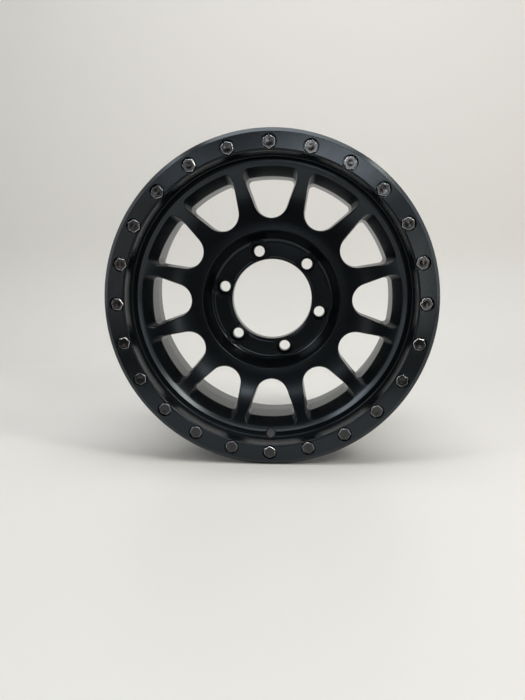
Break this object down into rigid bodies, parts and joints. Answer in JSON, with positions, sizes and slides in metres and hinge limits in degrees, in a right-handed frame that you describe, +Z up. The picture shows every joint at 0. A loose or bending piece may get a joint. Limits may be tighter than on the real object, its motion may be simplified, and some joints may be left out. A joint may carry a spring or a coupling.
{
  "type": "car wheel rim",
  "caption": "Deep-dish alloy car wheel, satin black, with wedge-shaped windows between short spokes, a round hub bowl and a bright ring of hexagon accent bolts.",
  "frame": {"origin": "centre of the rim, halfway between its front and rear edges, on the axle", "axes": "+Y along the axle towards the car, -Y towards the street, +Z up, with the valve hole at the bottom"},
  "size_m": [0.4249, 0.205, 0.425],
  "materials": {
    "powder_coat": "satin black powder coat on cast aluminium",
    "zinc": "bright zinc plate"
  },
  "bodies": {
    "root": {"wheel_casting": "powder_coat", "accent_bolts": "zinc"}
  },
  "joints": []
}
